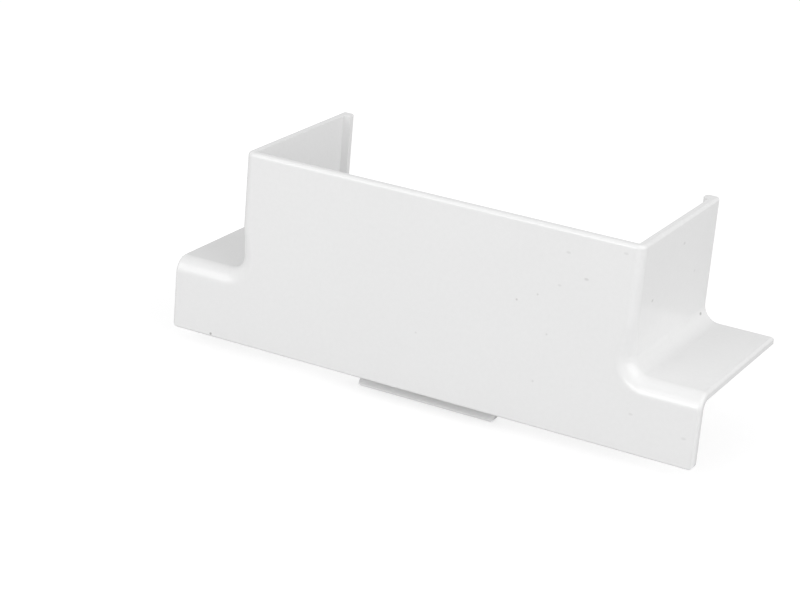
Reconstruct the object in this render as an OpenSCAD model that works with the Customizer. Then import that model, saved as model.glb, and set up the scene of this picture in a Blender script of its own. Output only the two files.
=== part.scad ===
// Flat tee cover for surface cable trunking: one moulded PVC shell.
// It clips over the joint where a branch trunking rises from a run that goes left and right.
// Origin: on the wall plane, midway between the arms, level with the plate's lower edge.
// +X runs along the run, +Y points into the wall, +Z runs up the branch.

/* [Shell] */
// Wall thickness of the moulding
wall = 2.0; // [1.6:0.1:2.4]
// Depth from the wall plane to the front face
depth = 48.5; // [35:0.5:65]

/* [Branch] */
// Outside width of the branch hood
branch_w = 105; // [80:1:125]
// Height of the branch mouth above the plate's lower edge
branch_h = 50; // [42:1:75]

/* [Run] */
// Length of the fitting over both arms
run_l = 141.5; // [140:0.5:180]
// Height of the arms' top face above the plate's lower edge
arm_h = 18.5; // [16:0.5:24]
// Outside radius of the front edge along the arms and round the fillet
edge_r = 4.0; // [2.5:0.1:4.5]
// Outside radius of the front edge at the branch mouth
mouth_edge_r = 2.4; // [2.2:0.1:4]
// Height over which the branch's edge closes from one radius to the other
flare_h = 8; // [4:0.5:12]
// Outside radius of the fillet between the branch and an arm
fillet_r = 4.2; // [3:0.1:5]

/* [Edges] */
// Radius on the outer edge of the branch mouth and of the arm ends
rim_r = 0.9; // [0.4:0.1:1.2]
// Radius along the front plate's lower edge
foot_r = 0.5; // [0.3:0.1:0.8]
// Radius of the front plate's two lower corners, seen from the front
toe_r = 1.6; // [1:0.1:2]
// Radius on the outer edges that meet the wall
back_r = 1.0; // [0.5:0.1:1.4]

/* [Snap beads] */
// How far a bead stands out from the branch wall's inner face
bead_reach = 1.6; // [0.8:0.1:2.4]
// Length of a bead along the depth, from the wall plane
bead_l = 3.3; // [3:0.1:5]
// Length of the bead's front slope
bead_slope = 1.1; // [0.5:0.1:1.5]
// Lead-in chamfer of the bead beside the wall plane
bead_lead = 0.7; // [0.4:0.1:0.8]
// Height of the bead's lower end above the arm's top face
bead_start = 6.0; // [5:0.5:10]

/* [Catch] */
// Width of the spring catch
catch_w = 37; // [20:1:60]
// How far the catch reaches below the plate's lower edge
catch_drop = 3.4; // [2.4:0.1:4]
// Thickness of the catch's tongue
catch_t = 1.6; // [1.2:0.1:2.2]
// Slot between the front plate and the tongue
catch_gap = 2.6; // [2:0.1:4]
// Height of the shelf that carries the tongue above the plate's lower edge
catch_shelf_h = 8.0; // [6:0.5:11]
// Thickness of that shelf
catch_shelf_t = 1.8; // [1.2:0.1:2.4]
// How far the barb's nose stands forward of the tongue
barb_reach = 1.0; // [0.6:0.1:1.6]
// Height of the slope above the nose
barb_slope = 1.0; // [0.6:0.1:1.5]
// Height of the flat on the nose
barb_nose = 0.5; // [0.3:0.1:0.8]
// Corner radius of the tongue's lower corners
catch_corner_r = 1.0; // [0.5:0.1:1.5]

/* [Hidden] */
$fn = 64;

// Smallest radius left on an inner edge
inner_r_min = 0.4;
// Extra length that carries a cut clear of the faces it opens
over = 6;
// Overlap that joins two solids inside the material
lap = 0.5;
half_run = run_l / 2;
half_branch = branch_w / 2;
inner_half_branch = half_branch - wall;
axis_x = half_branch + fillet_r;
axis_z = arm_h + fillet_r;
straight_z = axis_z + flare_h;
tongue_front = wall + catch_gap;
tongue_back = tongue_front + catch_t;

// Sharp corner to take off at the origin so that a radius is left there
module corner_waste(r) {
    difference() {
        translate([-lap, -lap]) square(r + lap);
        translate([r, r]) circle(r);
    }
}

// Rectangle that starts at the origin, where it has a radius
module edge_profile(u, v, r) {
    difference() {
        square([u, v]);
        corner_waste(r);
    }
}

// Rounded outer edge of an end face, with a lap behind and below it into the rest of the end
module rim_profile(r) {
    translate([r, r]) rotate(180) edge_profile(r + lap, r + lap, r);
}

// Prism on an edge profile; with a rim, its two outer faces roll over into the end face
module edge_slab(u, v, h, r, rim = 0) {
    linear_extrude(h - rim) edge_profile(u, v, r);
    if (rim > 0) translate([0, 0, h - rim]) {
        translate([rim, rim, -lap]) linear_extrude(rim + lap) edge_profile(u - rim, v - rim, r - rim);
        translate([r, rim, 0]) rotate([90, 0, 90]) linear_extrude(u - r)
            mirror([1, 0]) rim_profile(rim);
        translate([rim, v, 0]) rotate([90, 0, 0]) linear_extrude(v - r)
            mirror([1, 0]) rim_profile(rim);
        translate([r, r, 0]) rotate([0, 0, 180]) rotate_extrude(angle = 90)
            translate([r - rim, 0]) rim_profile(rim);
    }
}

// Block on an edge profile whose corner radius changes on the way up, as a sheared cone
module taper_slab(u, v, h, r_low, r_high) {
    lean = (r_high - r_low) / h;
    translate([0, v, 0]) rotate([90, 0, 0]) linear_extrude(v)
        polygon([[r_low, 0], [u, 0], [u, h], [r_high, h]]);
    rotate([90, 0, 90]) linear_extrude(u)
        polygon([[r_low, 0], [v, 0], [v, h], [r_high, h]]);
    multmatrix([[1, 0, lean, r_low], [0, 1, lean, r_low], [0, 0, 1, 0], [0, 0, 0, 1]])
        cylinder(r1 = r_low, r2 = r_high, h = h);
}

// Right half of the solid tee, set in from the outer skin; the front face of the skin is y = 0.
// run_over carries the open sides past the ends, so that the inset tee can be cut out.
module tee_half(inset, run_over, rim) {
    rho = fillet_r + inset;
    r = max(edge_r - inset, inner_r_min);
    r_mouth = max(mouth_edge_r - inset, inner_r_min);
    rear = depth + run_over;

    // Middle of the tee, short of the fillet
    translate([0, rear, 0]) rotate([90, 0, 0]) linear_extrude(rear - inset) difference() {
        translate([-lap, -run_over]) square([axis_x + lap, axis_z + run_over]);
        translate([axis_x, axis_z]) circle(rho + r);
    }
    // Fillet, with the front edge's radius swept round its axis
    translate([axis_x, inset, axis_z]) rotate([-90, 0, 0]) rotate([0, 0, 90]) rotate_extrude(angle = 90)
        translate([rho, 0]) edge_profile(r + lap, rear - inset, r);
    // Arm
    translate([axis_x, inset, arm_h - inset]) rotate([0, 90, 0])
        edge_slab(arm_h - inset + run_over, rear - inset, half_run + run_over - axis_x, r, rim);
    // Branch
    translate([half_branch - inset, inset, axis_z]) mirror([1, 0, 0]) {
        taper_slab(half_branch - inset + lap, rear - inset, flare_h, r, r_mouth);
        translate([0, 0, flare_h])
            edge_slab(half_branch - inset + lap, rear - inset, branch_h - straight_z + run_over, r_mouth,
                rim);
    }
}

// Waste along the outer edges that meet the wall
module rear_round() {
    translate([half_branch, depth, axis_z]) linear_extrude(branch_h - axis_z + lap)
        rotate(180) corner_waste(back_r);
    translate([axis_x, depth, axis_z]) rotate([90, 0, 0]) rotate([0, 0, 180]) rotate_extrude(angle = 90)
        translate([fillet_r, 0]) corner_waste(back_r);
    translate([axis_x, depth, arm_h]) rotate([90, 0, 90]) linear_extrude(half_run - axis_x + lap)
        rotate(180) corner_waste(back_r);
}

module both_sides() {
    children();
    mirror([1, 0, 0]) children();
}

module shell() {
    difference() {
        both_sides() tee_half(0, 0, rim_r);
        both_sides() tee_half(wall, over, 0);
        foot_round();
        both_sides() {
            toe_round();
            rear_round();
        }
    }
}

// Waste along the front plate's lower edge
module foot_round() {
    translate([-half_run - lap, 0, 0]) rotate([90, 0, 90]) linear_extrude(run_l + 2 * lap)
        corner_waste(foot_r);
}

// Waste at the front plate's lower corner
module toe_round() {
    translate([half_run, wall + lap, 0]) rotate([90, 0, 0]) linear_extrude(wall + 2 * lap)
        mirror([1, 0]) corner_waste(toe_r);
}

// Bead on the branch wall's inner face, beside the wall plane
module snap_bead() {
    translate([inner_half_branch, depth, arm_h + bead_start])
        linear_extrude(branch_h - arm_h - bead_start) polygon([
            [lap, -bead_l],
            [0, -bead_l],
            [-bead_reach, -bead_l + bead_slope],
            [-bead_reach, -bead_lead],
            [-bead_reach + bead_lead, 0],
            [0, 0],
            [lap, -lap]
        ]);
}

// Sprung tongue behind the front plate; its barb grips the edge of the run's base
module spring_catch() {
    nose_y = tongue_front - barb_reach;
    nose_top = barb_nose - catch_drop;
    intersection() {
        translate([-catch_w / 2, 0, 0]) rotate([90, 0, 90]) linear_extrude(catch_w) polygon([
            [wall - lap, catch_shelf_h],
            [tongue_back, catch_shelf_h],
            [tongue_back, -catch_drop],
            [nose_y, -catch_drop],
            [nose_y, nose_top],
            [tongue_front, nose_top + barb_slope],
            [tongue_front, catch_shelf_h - catch_shelf_t],
            [wall - lap, catch_shelf_h - catch_shelf_t]
        ]);
        translate([-catch_w / 2, tongue_back + lap, -catch_drop]) rotate([90, 0, 0])
            linear_extrude(tongue_back + 2 * lap) difference() {
                square([catch_w, catch_drop + catch_shelf_h]);
                corner_waste(catch_corner_r);
                translate([catch_w, 0]) mirror([1, 0]) corner_waste(catch_corner_r);
            }
    }
}

module tee_cover() {
    color("white") translate([0, -depth, 0]) {
        shell();
        both_sides() snap_bead();
        spring_catch();
    }
}

tee_cover();
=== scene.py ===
"""Tee cover for cable trunking, dressed as a satin white moulding in a pale studio."""

import logging
import math
from dataclasses import dataclass
from enum import Enum

import bpy
from mathutils import Matrix, Vector


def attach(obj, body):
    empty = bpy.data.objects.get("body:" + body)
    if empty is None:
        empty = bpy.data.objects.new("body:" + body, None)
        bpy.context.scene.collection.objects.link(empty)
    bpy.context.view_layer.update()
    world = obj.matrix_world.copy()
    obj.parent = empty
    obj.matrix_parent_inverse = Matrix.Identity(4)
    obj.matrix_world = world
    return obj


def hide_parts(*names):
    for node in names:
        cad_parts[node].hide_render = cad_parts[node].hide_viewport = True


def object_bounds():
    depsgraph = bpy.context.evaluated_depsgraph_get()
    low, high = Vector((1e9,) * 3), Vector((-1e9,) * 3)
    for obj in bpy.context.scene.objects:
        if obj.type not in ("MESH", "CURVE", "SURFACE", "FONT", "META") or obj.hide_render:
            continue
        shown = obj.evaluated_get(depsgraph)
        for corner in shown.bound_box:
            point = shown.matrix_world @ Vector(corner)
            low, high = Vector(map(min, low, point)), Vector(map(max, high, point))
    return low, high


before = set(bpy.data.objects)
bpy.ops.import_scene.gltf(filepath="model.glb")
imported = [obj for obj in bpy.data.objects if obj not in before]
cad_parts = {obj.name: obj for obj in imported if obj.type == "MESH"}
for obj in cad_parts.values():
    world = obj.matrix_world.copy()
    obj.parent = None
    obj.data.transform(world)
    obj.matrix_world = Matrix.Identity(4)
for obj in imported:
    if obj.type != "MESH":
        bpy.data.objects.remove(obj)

LOG = logging.getLogger("tee_cover")
MM = 0.001
WHITE = (1.0, 1.0, 1.0)
CAD_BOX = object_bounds()

Tone = tuple[float, float, float]
Term = bpy.types.NodeSocket | float | tuple[float, ...]


def deselect_all() -> None:
    """Leave nothing selected, so that the next operator acts on its own piece."""
    bpy.ops.object.select_all(action="DESELECT")
    bpy.context.view_layer.objects.active = None


def select_only(piece: bpy.types.Object) -> None:
    """Make one object the selected and active one.

    Args:
        piece: The object that the next operator shapes.
    """
    deselect_all()
    piece.select_set(True)
    bpy.context.view_layer.objects.active = piece


def opaque(tone: Tone) -> tuple[float, ...]:
    """Give a tone the full cover that a colour socket expects."""
    return (*tone, 1.0)


@dataclass(frozen=True)
class SkinPattern:
    """One noise pattern on the skin.

    Attributes:
        size: Width of one blot of the pattern, in millimetres.
        detail: Number of finer layers on top of it.
        fade: Strength of each finer layer beside the one before it.
    """

    size: float
    detail: float
    fade: float = 0.5


class NodeGraph:
    """A small helper that places shader nodes in rows and joins them.

    Attributes:
        COLUMN_STEP: Distance between two nodes of a row.
        ROW_STEP: Distance between two rows.
        ROW_LENGTH: Number of nodes in a row.
    """

    COLUMN_STEP = 220
    ROW_STEP = 260
    ROW_LENGTH = 8

    def __init__(self, tree: bpy.types.NodeTree) -> None:
        """Empty the tree and start on it.

        Args:
            tree: The node tree of a material or of the world.
        """
        self.tree = tree
        self.tree.nodes.clear()
        self.count = 0

    def add(self, kind: str, **settings: str) -> bpy.types.Node:
        """Add one node.

        Args:
            kind: The node's type name.
            **settings: Properties to set on the node.

        Returns:
            The new node.
        """
        node = self.tree.nodes.new(kind)
        row, column = divmod(self.count, self.ROW_LENGTH)
        node.location = (self.COLUMN_STEP * column, -self.ROW_STEP * row)
        self.count += 1
        for name, value in settings.items():
            setattr(node, name, value)
        return node

    def feed(self, socket: bpy.types.NodeSocket, term: Term) -> None:
        """Set an input, or join it to another node's output.

        Args:
            socket: The input.
            term: A value, or the output to join.
        """
        if isinstance(term, bpy.types.NodeSocket):
            self.tree.links.new(term, socket)
        else:
            socket.default_value = term

    def put(self, node: bpy.types.Node, **terms: Term) -> bpy.types.Node:
        """Feed the named inputs of a node.

        Args:
            node: The node whose inputs are fed.
            **terms: Input names, with underscores for spaces, and their values or sources.

        Returns:
            The same node.
        """
        for name, term in terms.items():
            self.feed(node.inputs[name.replace("_", " ")], term)
        return node

    def calculate(self, kind: str, operation: str, terms: tuple[Term, ...]) -> bpy.types.Node:
        """Add a node that does one sum.

        Args:
            kind: The node's type name, for numbers or for vectors.
            operation: The name of the sum, such as ADD or MULTIPLY.
            terms: What goes into the sum, in order.

        Returns:
            The new node.
        """
        node = self.add(kind, operation=operation)
        for socket, term in zip(node.inputs, terms):
            self.feed(socket, term)
        return node

    def math(self, operation: str, *terms: Term) -> bpy.types.NodeSocket:
        """Do one sum on numbers and return the socket that holds the result."""
        return self.calculate("ShaderNodeMath", operation, terms).outputs["Value"]

    def vector_math(self, operation: str, *terms: Term) -> bpy.types.NodeSocket:
        """Do one sum on vectors and return the socket that holds the new vector."""
        return self.calculate("ShaderNodeVectorMath", operation, terms).outputs["Vector"]

    def length(self, vector: bpy.types.NodeSocket) -> bpy.types.NodeSocket:
        """Measure a vector and return the socket that holds its length."""
        return self.calculate("ShaderNodeVectorMath", "LENGTH", (vector,)).outputs["Value"]

    def noise(self, pattern: SkinPattern, place: bpy.types.NodeSocket) -> bpy.types.NodeSocket:
        """Spread a noise pattern over the piece.

        Args:
            pattern: The pattern's size and make-up.
            place: Object coordinates.

        Returns:
            A socket that wavers between 0 and 1.
        """
        node = self.put(
            self.add("ShaderNodeTexNoise"),
            Vector=place,
            Scale=1 / (pattern.size * MM),
            Detail=pattern.detail,
            Roughness=pattern.fade,
        )
        return node.outputs["Fac"]

    def blend(self, share: Term, first: Term, second: Term) -> bpy.types.NodeSocket:
        """Blend two colours.

        Args:
            share: Share of the second colour, from 0 to 1.
            first: The first colour.
            second: The second colour.

        Returns:
            The socket that holds the blended colour.
        """
        node = self.add("ShaderNodeMix", data_type="RGBA")
        return self.put(node, Factor=share, A=first, B=second).outputs["Result"]

    def background_level(self, gloss: float) -> bpy.types.NodeSocket:
        """Tell the rays that look at the background from those that light the part.

        Args:
            gloss: Level of the background in a reflection.

        Returns:
            A socket that is 1 for the camera and through clear things, the gloss level for
            reflections and 0 for all other rays.
        """
        path = self.add("ShaderNodeLightPath")
        straight = self.math("MAXIMUM", path.outputs["Is Camera Ray"], path.outputs["Is Transmission Ray"])
        mirrored = self.math("MULTIPLY", path.outputs["Is Glossy Ray"], gloss)
        return self.math("MAXIMUM", straight, mirrored)


class MarkKind(Enum):
    """The kinds of mark on the plastic. The value is how far one is drawn out along X, Y and Z."""

    SPECK = (1.0, 1.0, 1.0)
    SIDE_SPECK = (1.0, 1.9, 1.1)
    SCUFF = (1.8, 1.0, 1.0)


@dataclass(frozen=True)
class Mark:
    """One small mark on the surface.

    Attributes:
        at: Place on the part, in millimetres.
        radius: Radius of the mark before it is drawn out, in millimetres.
        depth: Share of the dirt's colour in the middle of the mark, from 0 to 1.
        kind: A round speck, a speck on a side wall or a short scuff.
    """

    at: tuple[float, float, float]
    radius: float
    depth: float
    kind: MarkKind = MarkKind.SPECK


@dataclass(frozen=True)
class MouldedPvc:
    """Satin white PVC as it leaves a polished mould.

    Attributes:
        name: Name of the material.
        light_tone: Lightest colour of the clean plastic.
        dull_tone: Darkest colour of the clean plastic.
        clouds: Faint flow clouds in the colour.
        grain: Fine mottle of the skin.
        grain_share: Share of the colour's change that comes from the grain, from 0 to 1.
        wipes: Patches where the skin is more or less glossy.
        wipe_range: Levels of the wipes at which the skin is glossiest and dullest.
        gloss_rough: Roughness of the glossiest places.
        dull_rough: Roughness of the dullest places.
        peel: Small dimples of the skin.
        peel_depth: Depth of a dimple, in millimetres.
        wave: Shallow sink waves.
        wave_depth: Depth of the sink waves, in millimetres.
        refraction: Index of refraction of the plastic.
        dirt_tone: Colour of the dirt in a mark.
        mark_core: Share of a mark's radius inside which it doesn't fade.
        marks: Specks and scuffs on the skin.
    """

    name: str
    light_tone: Tone
    dull_tone: Tone
    clouds: SkinPattern
    grain: SkinPattern
    grain_share: float
    wipes: SkinPattern
    wipe_range: tuple[float, float]
    gloss_rough: float
    dull_rough: float
    peel: SkinPattern
    peel_depth: float
    wave: SkinPattern
    wave_depth: float
    refraction: float
    dirt_tone: Tone
    mark_core: float
    marks: tuple[Mark, ...]

    def mark_mask(self, graph: NodeGraph, place: bpy.types.NodeSocket) -> Term:
        """Make the mask of all marks.

        Args:
            graph: The material's graph.
            place: Object coordinates.

        Returns:
            A level that is 0 on clean plastic and rises to a mark's depth in its middle.
        """
        mask: Term = 0.0
        for mark in self.marks:
            shift = graph.vector_math("SUBTRACT", place, tuple(value * MM for value in mark.at))
            narrow = tuple(1.0 / drawn_out for drawn_out in mark.kind.value)
            fade = graph.put(
                graph.add("ShaderNodeMapRange"),
                Value=graph.length(graph.vector_math("MULTIPLY", shift, narrow)),
                From_Min=mark.radius * MM * self.mark_core,
                From_Max=mark.radius * MM,
                To_Min=mark.depth,
                To_Max=0.0,
            )
            mask = graph.math("MAXIMUM", fade.outputs["Result"], mask)
        return mask

    def colour(self, graph: NodeGraph, place: bpy.types.NodeSocket) -> bpy.types.NodeSocket:
        """Mottle the plastic and set the marks on it.

        Args:
            graph: The material's graph.
            place: Object coordinates.

        Returns:
            The socket that holds the colour.
        """
        mottle = graph.math(
            "ADD",
            graph.math("MULTIPLY", graph.noise(self.clouds, place), 1.0 - self.grain_share),
            graph.math("MULTIPLY", graph.noise(self.grain, place), self.grain_share),
        )
        clean = graph.blend(mottle, opaque(self.dull_tone), opaque(self.light_tone))
        return graph.blend(self.mark_mask(graph, place), clean, opaque(self.dirt_tone))

    def roughness(self, graph: NodeGraph, place: bpy.types.NodeSocket) -> bpy.types.NodeSocket:
        """Vary the gloss in patches.

        Args:
            graph: The material's graph.
            place: Object coordinates.

        Returns:
            The socket that holds the roughness.
        """
        glossiest, dullest = self.wipe_range
        node = graph.put(
            graph.add("ShaderNodeMapRange"),
            Value=graph.noise(self.wipes, place),
            From_Min=glossiest,
            From_Max=dullest,
            To_Min=self.gloss_rough,
            To_Max=self.dull_rough,
        )
        return node.outputs["Result"]

    def relief(self, graph: NodeGraph, place: bpy.types.NodeSocket) -> bpy.types.NodeSocket:
        """Press the dimples and the sink waves into the skin.

        Args:
            graph: The material's graph.
            place: Object coordinates.

        Returns:
            The socket that holds the skin's normal.
        """
        dimples = graph.put(
            graph.add("ShaderNodeBump"),
            Height=graph.noise(self.peel, place),
            Strength=1.0,
            Distance=self.peel_depth * MM,
        )
        waves = graph.put(
            graph.add("ShaderNodeBump"),
            Height=graph.noise(self.wave, place),
            Strength=1.0,
            Distance=self.wave_depth * MM,
            Normal=dimples.outputs["Normal"],
        )
        return waves.outputs["Normal"]

    def build(self) -> bpy.types.Material:
        """Make the material.

        Returns:
            The finished material.
        """
        material = bpy.data.materials.new(self.name)
        material.use_nodes = True
        graph = NodeGraph(material.node_tree)
        place = graph.add("ShaderNodeTexCoord").outputs["Object"]
        shader = graph.put(
            graph.add("ShaderNodeBsdfPrincipled"),
            Base_Color=self.colour(graph, place),
            Roughness=self.roughness(graph, place),
            Normal=self.relief(graph, place),
            IOR=self.refraction,
        )
        graph.put(graph.add("ShaderNodeOutputMaterial"), Surface=shader.outputs["BSDF"])
        return material


@dataclass
class TeeCover:
    """The one-piece cover: a refined copy of its solid, dressed as moulded plastic.

    Attributes:
        node: Name of the solid that the piece stands for.
        body: Body that carries the piece.
        slot: Material slot of the record. Not used.
        weld: Distance under which corners of the solid's triangles are one, in millimetres.
        flat_angle: Angle under which neighbouring triangles lie in one face, in degrees.
        sharp_angle: Angle over which an edge of the mould shows as a line, in degrees.
        edge_round: Radius of a mould's edge that the solid leaves sharp, in millimetres.
        edge_steps: Number of faces across that radius.
        smooth_angle: Angle under which shading runs on over an edge, in degrees.
    """

    node: str = "tee_cover"
    body: str = "root"
    slot: str = "white_pvc"
    weld: float = 0.002
    flat_angle: float = 0.05
    sharp_angle: float = 32.0
    edge_round: float = 0.16
    edge_steps: int = 3
    smooth_angle: float = 32.0

    def copy_solid(self) -> bpy.types.Object:
        """Copy the solid and merge its loose triangles.

        Returns:
            The copy, as one closed mesh.
        """
        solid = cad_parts[self.node]
        piece = bpy.data.objects.new("moulded_cover", solid.data.copy())
        bpy.context.scene.collection.objects.link(piece)
        piece.data.materials.clear()
        select_only(piece)
        bpy.ops.object.mode_set(mode="EDIT")
        bpy.ops.mesh.select_all(action="SELECT")
        bpy.ops.mesh.remove_doubles(threshold=self.weld * MM)
        bpy.ops.mesh.customdata_custom_splitnormals_clear()
        bpy.ops.mesh.dissolve_limited(angle_limit=math.radians(self.flat_angle))
        bpy.ops.object.mode_set(mode="OBJECT")
        return piece

    def round_edges(self, piece: bpy.types.Object) -> None:
        """Break the sharp edges as a mould does.

        Args:
            piece: The merged copy.
        """
        select_only(piece)
        bevel = piece.modifiers.new("mould_edges", "BEVEL")
        bevel.width = self.edge_round * MM
        bevel.segments = self.edge_steps
        bevel.limit_method = "ANGLE"
        bevel.angle_limit = math.radians(self.sharp_angle)
        bevel.use_clamp_overlap = True
        bevel.miter_outer = "MITER_ARC"
        bpy.ops.object.modifier_apply(modifier=bevel.name)

    def smooth(self, piece: bpy.types.Object) -> None:
        """Shade the roundings smooth and keep the flats flat.

        Args:
            piece: The piece with its final shape.
        """
        select_only(piece)
        bpy.ops.object.shade_smooth_by_angle(angle=math.radians(self.smooth_angle))
        weighted = piece.modifiers.new("flat_faces", "WEIGHTED_NORMAL")
        weighted.mode = "FACE_AREA"
        weighted.keep_sharp = True
        bpy.ops.object.modifier_apply(modifier=weighted.name)

    def build(self, finish: MouldedPvc) -> bpy.types.Object:
        """Make the piece, dress it and put it on its body.

        Args:
            finish: The plastic it is moulded in.

        Returns:
            The finished piece.
        """
        piece = self.copy_solid()
        self.round_edges(piece)
        self.smooth(piece)
        piece.data.materials.append(finish.build())
        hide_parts(self.node)
        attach(piece, self.body)
        return piece


@dataclass(frozen=True)
class Softbox:
    """A square soft lamp that faces a point on the part.

    Attributes:
        name: Name of the lamp.
        at: Place of the lamp, in metres.
        side: Side of its square, in metres.
        watts: Its power.
    """

    name: str
    at: tuple[float, float, float]
    side: float
    watts: float

    def build(self, aim: Vector) -> None:
        """Hang the lamp.

        Args:
            aim: The point it faces.
        """
        data = bpy.data.lights.new(self.name, "AREA")
        data.shape = "SQUARE"
        data.size = self.side
        data.energy = self.watts
        lamp = bpy.data.objects.new(self.name, data)
        lamp.location = self.at
        lamp.rotation_euler = (aim - Vector(self.at)).to_track_quat("-Z", "Y").to_euler()
        bpy.context.scene.collection.objects.link(lamp)


@dataclass(frozen=True)
class Studio:
    """Pale floor, soft lamps and a surround that shows white.

    Attributes:
        floor_gap: Gap between the part's lowest point and the floor, in millimetres.
        floor_side: Side of the floor's square, in metres.
        floor_tone: Colour that the lamps light on the floor.
        floor_lift: Light that the camera sees on the floor besides that colour.
        floor_gloss: Share of that light that reflections see.
        room_light: Level of the surround as it lights the part.
        room_gloss: Least level of the surround in reflections.
        lamps: The soft lamps.
    """

    floor_gap: float
    floor_side: float
    floor_tone: Tone
    floor_lift: float
    floor_gloss: float
    room_light: float
    room_gloss: float
    lamps: tuple[Softbox, ...]

    def lay_floor(self) -> None:
        """Lay the floor, which shows white and keeps the part's shadow."""
        deselect_all()
        low, _ = CAD_BOX
        bpy.ops.mesh.primitive_plane_add(size=self.floor_side, location=(0, 0, low.z - self.floor_gap * MM))
        floor = bpy.context.object
        floor.name = "studio_floor"
        material = bpy.data.materials.new("pale_floor")
        material.use_nodes = True
        graph = NodeGraph(material.node_tree)
        paper = graph.put(graph.add("ShaderNodeBsdfDiffuse"), Color=opaque(self.floor_tone))
        lift = graph.put(
            graph.add("ShaderNodeEmission"),
            Color=opaque(WHITE),
            Strength=graph.math("MULTIPLY", graph.background_level(self.floor_gloss), self.floor_lift),
        )
        both = graph.add("ShaderNodeAddShader")
        graph.feed(both.inputs[0], paper.outputs["BSDF"])
        graph.feed(both.inputs[1], lift.outputs["Emission"])
        graph.put(graph.add("ShaderNodeOutputMaterial"), Surface=both.outputs["Shader"])
        floor.data.materials.append(material)

    def light_room(self) -> None:
        """Fill the surround with even light, which the camera sees as white."""
        world = bpy.data.worlds.new("studio_room")
        bpy.context.scene.world = world
        world.use_nodes = True
        graph = NodeGraph(world.node_tree)
        level = graph.math("MAXIMUM", graph.background_level(self.room_gloss), self.room_light)
        glow = graph.put(graph.add("ShaderNodeBackground"), Color=opaque(WHITE), Strength=level)
        graph.put(graph.add("ShaderNodeOutputWorld"), Surface=glow.outputs["Background"])

    def build(self, aim: Vector) -> None:
        """Set the whole studio up.

        Args:
            aim: The point that the lamps face.
        """
        self.lay_floor()
        self.light_room()
        for lamp in self.lamps:
            lamp.build(aim)
            LOG.info("lamp %s: %.2f W", lamp.name, lamp.watts)


@dataclass(frozen=True)
class PhotoCamera:
    """The camera at the photograph's place.

    Attributes:
        at: Place of the lens, in metres.
        right: Direction of the picture's right side.
        up: Direction of the picture's top.
        lens: Focal length, in millimetres.
        sensor: Width of the sensor, in millimetres.
        near: Distance at which the view starts, in metres.
        far: Distance at which it ends, in metres.
    """

    at: tuple[float, float, float]
    right: tuple[float, float, float]
    up: tuple[float, float, float]
    lens: float
    sensor: float = 36.0
    near: float = 0.01
    far: float = 50.0

    def build(self) -> None:
        """Set the camera up and make it the scene's own."""
        data = bpy.data.cameras.new("photo_camera")
        data.lens = self.lens
        data.sensor_width = self.sensor
        data.clip_start = self.near
        data.clip_end = self.far
        camera = bpy.data.objects.new("photo_camera", data)
        right = Vector(self.right).normalized()
        up = (Vector(self.up) - right * right.dot(Vector(self.up))).normalized()
        turn = Matrix((right, up, right.cross(up))).transposed()
        camera.matrix_world = Matrix.Translation(self.at) @ turn.to_4x4()
        bpy.context.scene.collection.objects.link(camera)
        bpy.context.scene.camera = camera


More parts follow.
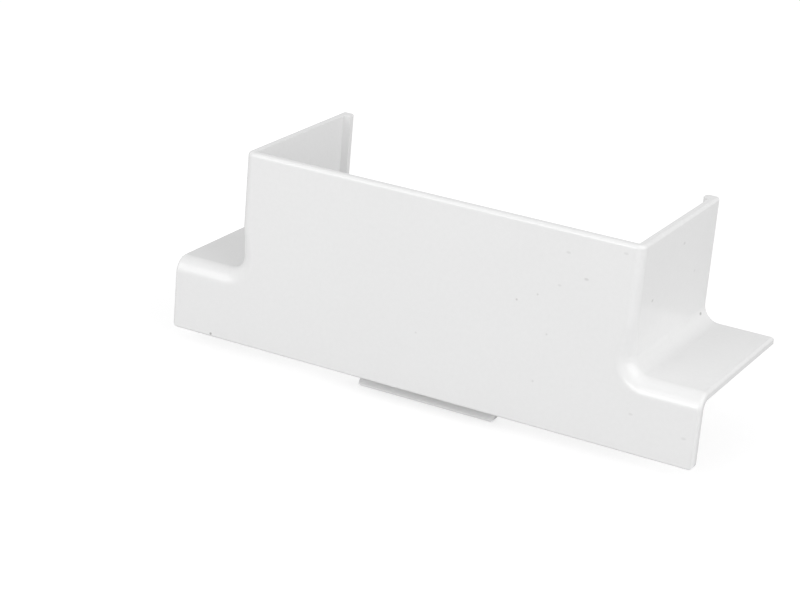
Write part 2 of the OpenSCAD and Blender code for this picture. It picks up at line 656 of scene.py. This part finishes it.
MARKS = (
    Mark((52.5, -21.9, 44.0), 0.42, 0.2, MarkKind.SIDE_SPECK),
    Mark((52.5, -12.2, 34.5), 0.38, 0.12, MarkKind.SIDE_SPECK),
    Mark((52.5, -38.8, 34.5), 0.42, 0.26, MarkKind.SIDE_SPECK),
    Mark((52.8, -4.3, 21.2), 0.45, 0.5, MarkKind.SIDE_SPECK),
    Mark((39.6, -48.5, 39.3), 0.42, 0.2, MarkKind.SCUFF),
    Mark((34.5, -48.5, 44.6), 0.4, 0.13, MarkKind.SCUFF),
    Mark((48.4, -48.5, 47.6), 0.42, 0.12, MarkKind.SCUFF),
    Mark((33.2, -48.5, 36.3), 0.35, 0.12, MarkKind.SCUFF),
    Mark((22.9, -48.5, 30.3), 0.35, 0.28),
    Mark((28.0, -48.5, 32.8), 0.35, 0.2),
    Mark((31.3, -48.5, 23.7), 0.35, 0.16),
    Mark((29.1, -48.5, 11.4), 0.4, 0.13),
    Mark((-2.3, -48.5, 15.6), 0.35, 0.14),
    Mark((-59.3, -48.5, 0.8), 0.45, 0.55),
    Mark((54.2, -48.5, 9.8), 0.4, 0.12, MarkKind.SCUFF),
    Mark((67.6, -48.5, 7.4), 0.45, 0.12, MarkKind.SCUFF),
)

WHITE_PVC = MouldedPvc(
    name="satin_white_pvc",
    light_tone=(0.875, 0.875, 0.875),
    dull_tone=(0.825, 0.825, 0.825),
    clouds=SkinPattern(size=28.0, detail=3.0),
    grain=SkinPattern(size=1.1, detail=2.0),
    grain_share=0.6,
    wipes=SkinPattern(size=9.0, detail=2.0),
    wipe_range=(0.35, 0.65),
    gloss_rough=0.18,
    dull_rough=0.23,
    peel=SkinPattern(size=0.9, detail=2.0, fade=0.4),
    peel_depth=0.004,
    wave=SkinPattern(size=14.0, detail=1.0, fade=0.3),
    wave_depth=0.03,
    refraction=1.53,
    dirt_tone=(0.18, 0.17, 0.16),
    mark_core=0.4,
    marks=MARKS,
)

CAMERA = PhotoCamera(
    at=(0.22427, -0.5154, 0.21476),
    right=(0.87915, 0.46948, 0.08175),
    up=(-0.23107, 0.26994, 0.93474),
    lens=104.70,
)

STUDIO = Studio(
    floor_gap=0.1,
    floor_side=8.0,
    floor_tone=(0.5, 0.5, 0.5),
    floor_lift=0.62,
    floor_gloss=0.1,
    room_light=0.6,
    room_gloss=0.6,
    lamps=(
        Softbox("front_left_box", at=(-0.55, -1.05, 0.55), side=0.95, watts=4.6),
        Softbox("front_low_box", at=(-0.1, -1.2, 0.15), side=0.6, watts=3.2),
        Softbox("right_box", at=(1.1, -0.2, 0.6), side=1.3, watts=6.8),
        Softbox("right_back_box", at=(0.9, 0.45, 0.6), side=0.9, watts=1.15),
        Softbox("rear_left_box", at=(-0.5, 0.8, 0.8), side=0.9, watts=0.45),
    ),
)


def main() -> None:
    """Build the camera, the cover and the studio in order."""
    logging.basicConfig(level=logging.INFO, format="%(name)s: %(message)s")
    bpy.context.scene.view_settings.view_transform = "Standard"
    CAMERA.build()
    cover = TeeCover().build(WHITE_PVC)
    LOG.info("piece %s: %d faces", cover.name, len(cover.data.polygons))
    low, high = CAD_BOX
    STUDIO.build((low + high) / 2)


if __name__ == "__main__":
    main()
